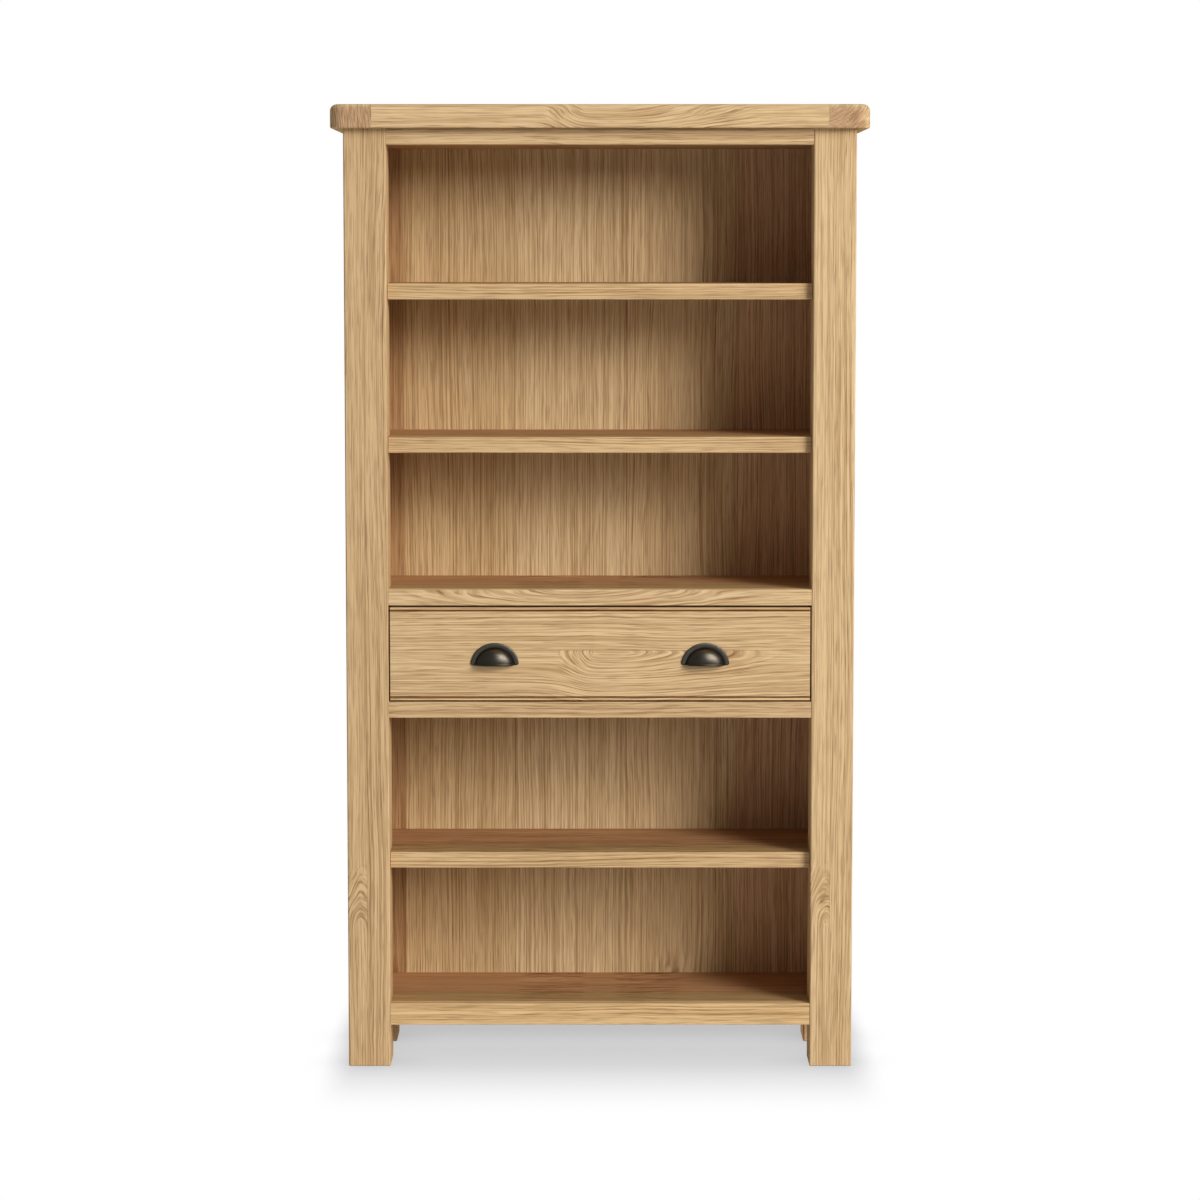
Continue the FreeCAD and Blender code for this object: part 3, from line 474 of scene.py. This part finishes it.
top_board = oak("oak_top_board", "xzy", seed=61.0,
                heart=(0.0, 1.802, -0.105), swell=(-0.012, 0.19, 0.044), tail=3.4)
top_ends = oak("oak_top_ends", "yxz", seed=67.0, heart=(0.0, 0.4, 1.83))
for matte in (top_board, top_ends):
    matte.node_tree.nodes["Principled BSDF"].inputs["Specular IOR Level"].default_value = 0.0
dress(top_board, "top_board")
dress(top_ends, "top_end_left", "top_end_right")
dress(oak("beech_dowel", "zxy", seed=71.0, light=paint(226, 194, 160), dark=paint(206, 168, 130),
          pore=paint(190, 148, 110)),
      "top_dowels")

# Drawer running gear.
# Hardwood runners, guides, kickers and stops, glued inside the case.

PALE_TONES = dict(light=paint(232, 212, 178), dark=paint(208, 180, 140), pore=paint(190, 158, 116))
dress(oak("oak_running_gear", "yxz", seed=73.0, **PALE_TONES),
      "drawer_runner_left", "drawer_runner_right", "drawer_guide_left", "drawer_guide_right",
      "drawer_kicker_left", "drawer_kicker_right", "drawer_stops")

# Drawer box.
# Paler boards dovetailed together, with a thin bottom let into a groove.

dress(oak("drawer_sides", "yzx", seed=79.0, **PALE_TONES), "drawer_side_left", "drawer_side_right")
dress(oak("drawer_back", "xzy", seed=83.0, **PALE_TONES), "drawer_back")
dress(oak("drawer_bottom", "xyz", seed=89.0, **PALE_TONES), "drawer_bottom")

# Drawer front.
# Solid oak glued from two staves, with a bead along its upper and lower edge. The lower stave is cut
# near the heart and shows nested arches at the joint.

STAVE_JOINT = 0.789
BEAD_HEIGHT = 0.0044
QUIRK_WIDTH = 0.003
QUIRK_BLUR = 0.0006
QUIRK_PAINTED_SHADE = (0.55, 0.38, 0.29, 1)


def beaded_oak(name):
    """Makes the drawer front's material; the quirk beside each bead is painted darker as shade."""
    material, timber, axes = oak_parts(name, "xzy")
    tree = material.node_tree
    low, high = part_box("drawer_front")
    from_edge = calc(tree, "MINIMUM", calc(tree, "SUBTRACT", axes["z"], low[2]),
                     calc(tree, "SUBTRACT", high[2], axes["z"]))
    from_quirk = calc(tree, "SUBTRACT", from_edge, BEAD_HEIGHT + QUIRK_WIDTH / 2)
    from_quirk = calc(tree, "ABSOLUTE", from_quirk)
    in_quirk = ramp(tree, from_quirk, QUIRK_WIDTH / 2 + QUIRK_BLUR, QUIRK_WIDTH / 2)
    shade = blend(tree, in_quirk, (1, 1, 1, 1), QUIRK_PAINTED_SHADE)
    set_figure(material, timber, seed=97.0, joint=STAVE_JOINT, tail=3.6, tint=shade,
               heart=(0.0, STAVE_JOINT, -0.083), swell=(0.005, 0.19, 0.042), second_heart=(0.0, 0.98, -0.03))
    return material


dress(beaded_oak("oak_drawer_front"), "drawer_front")

# Cup handles.
# Cast cups with a flat arched flange and a rolled lip, screwed on from inside the drawer. Their finish
# is a dark bronze, browner in patches on the upper cup, partly patina and partly painted reflection.

CUP_HANDLES = ("cup_handle_left", "cup_handle_right")
FLANGE_THICKNESS = 0.0034
CUP_START = 0.0005
CUP_FULL = 0.003
PATINA_AND_REFLECTION_START = 0.018
PATINA_AND_REFLECTION_FULL = 0.037
FLANGE_CHARCOAL = paint(53, 50, 45)
CUP_BLACK = paint(40, 37, 32)
PATINA_AND_REFLECTION_BROWN = paint(54, 40, 17)


def dark_bronze(name):
    """Makes the finish of the handles: charcoal on the flange, darker and smoother on the cup.

    The cup stands in front of the flange; its darker colour is partly a painted reflection of a dark room,
    and its upper part is painted browner in soft clouds, partly patina and partly painted reflection.
    """
    material, tree, surface, point = metal(name)
    _, forward, upward = parts_of(tree, point)
    flange_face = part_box("drawer_front")[0][1] - FLANGE_THICKNESS
    cup = ramp(tree, forward, flange_face + CUP_START, flange_face - CUP_FULL)
    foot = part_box("cup_handle_left")[0][2]
    cloud = ramp(tree, noise(tree, point, (90, 90, 90), 2.0)[0], 0.35, 0.65)
    high = ramp(tree, upward, foot + PATINA_AND_REFLECTION_START, foot + PATINA_AND_REFLECTION_FULL)
    patina_and_reflection = calc(tree, "MULTIPLY", high, calc(tree, "MULTIPLY_ADD", cloud, 0.6, 0.4))
    cup_color = blend(tree, patina_and_reflection, CUP_BLACK, PATINA_AND_REFLECTION_BROWN)
    fill(tree, surface["Base Color"], blend(tree, cup, FLANGE_CHARCOAL, cup_color))
    worn = calc(tree, "MULTIPLY_ADD", cloud, 0.06, 0.42)
    fill(tree, surface["Roughness"], calc(tree, "MULTIPLY_ADD", cup, -0.12, worn))
    return material


dress(dark_bronze("dark_bronze"), *CUP_HANDLES)

# Stage: white floor, light and camera.
# A broad far key light stands low in front to the right, with softboxes beside it, overhead and
# behind, a white room that fills a little, and a card that lights the dark handles alone.

KEY_TURN = 44
KEY_RISE = 20
KEY_SPREAD = 33
KEY_STRENGTH = 2.3
key = bpy.data.lights.new("key_light", "SUN")
key.energy = KEY_STRENGTH
key.angle = math.radians(KEY_SPREAD)
key_holder = bpy.data.objects.new("key_light", key)
key_holder.rotation_euler = (math.radians(90 - KEY_RISE), 0, math.radians(KEY_TURN))
bpy.context.collection.objects.link(key_holder)


def add_softbox(name, place, target, across, power):
    """Adds a square area light that faces a target."""
    lamp = bpy.data.lights.new(name, "AREA")
    lamp.size = across
    lamp.energy = power
    holder = bpy.data.objects.new(name, lamp)
    holder.location = place
    holder.rotation_euler = (Vector(target) - Vector(place)).to_track_quat("-Z", "Y").to_euler()
    bpy.context.collection.objects.link(holder)
    return holder


add_softbox("right_softbox", place=(2.8, -2.8, 2.6), target=(0.3, -0.13, 1.3), across=1.0, power=55)
add_softbox("overhead_softbox", place=(0.3, -1.0, 5.5), target=(0.0, -0.8, 0.0), across=3.0, power=40)
add_softbox("rear_softbox", place=(-2.6, 3.6, 2.2), target=(0.0, 0.1, 0.9), across=2.4, power=120)
handles = bpy.data.collections.new("handles")
for name in CUP_HANDLES:
    handles.objects.link(nodes[name])
handle_card = add_softbox("handle_card", place=(1.97, -3.84, 3.48), target=(0.0, -0.14, 0.76),
                          across=2.2, power=600)
handle_card.light_linking.receiver_collection = handles

FLOOR_REACH = 9.0
FLOOR_DROP = 0.0004
FLOOR_PAINT = (0.8, 0.8, 0.8, 1)
SHADE_SIDE_FADE = (0.455, 0.535)
SHADE_FRONT_FADE = (-0.50, 0.02)
SHADE_REAR_FADE = (0.20, 0.60)
SHADE_STRENGTH = 0.37
REAR_SHADE_FADE = (0.04, 0.20)
REAR_SHADE_STRENGTH = 0.10
CONTACT_REACH = 0.10
CONTACT_STRENGTH = 0.20


def seen_plainly(tree):
    """1 for rays that show the stage itself, from the camera or by reflection or refraction."""
    rays = tree.nodes.new("ShaderNodeLightPath").outputs
    mirrored = calc(tree, "MAXIMUM", rays["Is Glossy Ray"], rays["Is Transmission Ray"])
    return calc(tree, "MAXIMUM", rays["Is Camera Ray"], mirrored)


def white_floor(name):
    """Makes the floor's material: white where it is seen, and pale matt paint for the light it returns.

    Under the case it has a painted shade that deepens to the rear, and a painted contact shade, from ambient
    occlusion, close to what stands on it.
    """
    material = bpy.data.materials.new(name)
    material.use_nodes = True
    tree = material.node_tree
    tree.nodes.remove(tree.nodes["Principled BSDF"])
    ground = tree.nodes.new("ShaderNodeBsdfDiffuse")
    fill(tree, ground.inputs["Color"], FLOOR_PAINT)
    spot_x, spot_y, _ = parts_of(tree, tree.nodes.new("ShaderNodeTexCoord").outputs["Object"])
    # Painted shadow of the case, set by position on the floor.
    beside = ramp(tree, calc(tree, "ABSOLUTE", spot_x), *SHADE_SIDE_FADE)
    behind = ramp(tree, spot_y, *SHADE_REAR_FADE)
    within = calc(tree, "MULTIPLY", calc(tree, "SUBTRACT", 1.0, beside), calc(tree, "SUBTRACT", 1.0, behind))
    shade = calc(tree, "MULTIPLY", ramp(tree, spot_y, *SHADE_FRONT_FADE), SHADE_STRENGTH)
    shade = calc(tree, "MULTIPLY_ADD", ramp(tree, spot_y, *REAR_SHADE_FADE), REAR_SHADE_STRENGTH, shade)
    shade = calc(tree, "MULTIPLY", shade, within)
    contact = tree.nodes.new("ShaderNodeAmbientOcclusion")
    contact.samples = 8
    fill(tree, contact.inputs["Distance"], CONTACT_REACH)
    touch = calc(tree, "MULTIPLY_ADD", contact.outputs["AO"], CONTACT_STRENGTH, 1.0 - CONTACT_STRENGTH)
    glow = tree.nodes.new("ShaderNodeEmission")
    fill(tree, glow.inputs["Strength"], calc(tree, "MULTIPLY", touch, calc(tree, "SUBTRACT", 1.0, shade)))
    shown = tree.nodes.new("ShaderNodeMixShader")
    fill(tree, shown.inputs[0], seen_plainly(tree))
    fill(tree, shown.inputs[1], ground.outputs[0])
    fill(tree, shown.inputs[2], glow.outputs[0])
    fill(tree, tree.nodes["Material Output"].inputs["Surface"], shown.outputs[0])
    return material


corner_signs = ((-1, -1), (1, -1), (1, 1), (-1, 1))
corners = [(x * FLOOR_REACH, y * FLOOR_REACH, -FLOOR_DROP) for x, y in corner_signs]
sheet = bpy.data.meshes.new("floor")
sheet.from_pydata(corners, [], [(0, 1, 2, 3)])
sheet.materials.append(white_floor("white_floor"))
floor = bpy.data.objects.new("floor", sheet)
bpy.context.collection.objects.link(floor)

ROOM_FILL = 0.15
world = bpy.data.worlds.new("white_room")
bpy.context.scene.world = world
world.use_nodes = True
room = world.node_tree.nodes["Background"].inputs
fill(world.node_tree, room["Color"], (1, 1, 1, 1))
room_seen = calc(world.node_tree, "MULTIPLY", seen_plainly(world.node_tree), 1.0 - ROOM_FILL)
fill(world.node_tree, room["Strength"], calc(world.node_tree, "ADD", room_seen, ROOM_FILL))

SENSOR_WIDTH = 36.0
FOCAL_LENGTH = 103.14
FRAME_SHIFT = -0.036
FAR_CLIP = 60.0
CAMERA_PLACE = (0.0, -6.505, 1.532)
CAMERA_DIP = 5.09
lens = bpy.data.cameras.new("camera")
lens.sensor_width = SENSOR_WIDTH
lens.lens = FOCAL_LENGTH
lens.shift_y = FRAME_SHIFT
lens.clip_end = FAR_CLIP
camera = bpy.data.objects.new("camera", lens)
camera.location = CAMERA_PLACE
camera.rotation_euler = (math.radians(90 - CAMERA_DIP), 0, 0)
bpy.context.collection.objects.link(camera)
bpy.context.scene.camera = camera
bpy.context.scene.view_settings.view_transform = "Standard"
